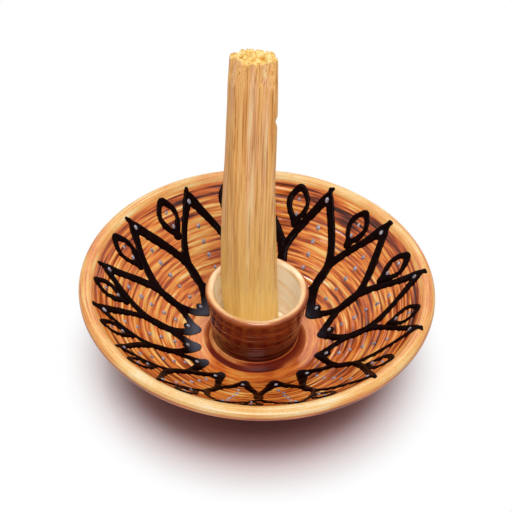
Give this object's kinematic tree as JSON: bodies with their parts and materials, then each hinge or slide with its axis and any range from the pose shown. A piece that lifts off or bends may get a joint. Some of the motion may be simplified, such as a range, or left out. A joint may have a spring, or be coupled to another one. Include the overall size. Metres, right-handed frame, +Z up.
{
  "type": "palo santo holder",
  "caption": "Shallow flared dish with raised petal lines and dots on its wall, and a central cup that holds an upright stick of palo santo.",
  "frame": {"origin": "middle of the foot ring on the table", "axes": "+Z up along the axis of the dish and the cup, -Y towards the viewer, +X to the right"},
  "size_m": [0.115, 0.115, 0.1224],
  "materials": {
    "amber_glaze": "brushed amber and red-brown glaze, glossy, pale at the lip, bare buff foot ring",
    "red_brown_glaze": "glossy red-brown glaze over cream inside",
    "black_slip": "raised glossy black slip",
    "pale_slip": "raised glossy lilac-grey slip",
    "palo_santo_wood": "bare split wood with a long straight grain"
  },
  "bodies": {
    "holder": {"dish": "amber_glaze", "holder_cup": "red_brown_glaze", "luting_ring": "red_brown_glaze", "petal_lines": "black_slip", "leaf_loops": "black_slip", "petal_dots": "pale_slip", "leaf_dots": "pale_slip"},
    "stick": {"palo_santo_stick": "palo_santo_wood"}
  },
  "joints": [
    {"name": "stick_lift", "type": "slide", "parent": "holder", "child": "stick", "axis": [0, 0, 1], "range_m": [0, 0.03]}
  ]
}
